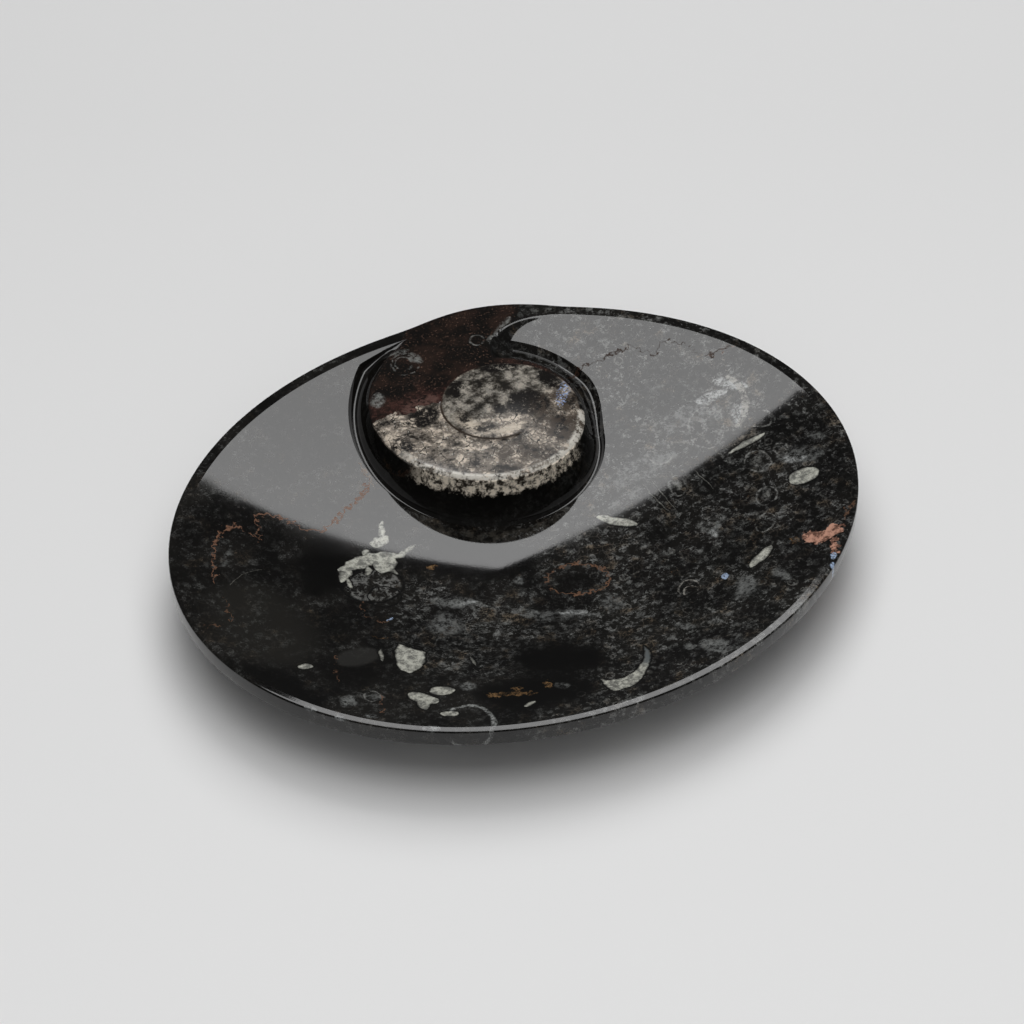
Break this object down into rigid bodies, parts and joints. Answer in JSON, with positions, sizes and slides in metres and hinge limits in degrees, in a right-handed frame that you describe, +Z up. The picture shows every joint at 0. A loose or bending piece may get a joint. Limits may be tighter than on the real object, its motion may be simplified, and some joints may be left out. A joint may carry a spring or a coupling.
{
  "type": "fossil limestone dish",
  "caption": "Shallow oval dish of polished black fossil limestone, with a raised spiral shell carved at its back edge and a narrow flat lip.",
  "frame": {"origin": "middle of the overall box at the flat foot, on the surface the dish stands on", "axes": "+X along the long axis of the oval, +Y towards the side that carries the spiral shell, +Z up"},
  "size_m": [0.15, 0.125, 0.0185],
  "materials": {
    "stone": "mirror-polished black limestone"
  },
  "bodies": {
    "root": {"fossil_plate": "stone"}
  },
  "joints": []
}
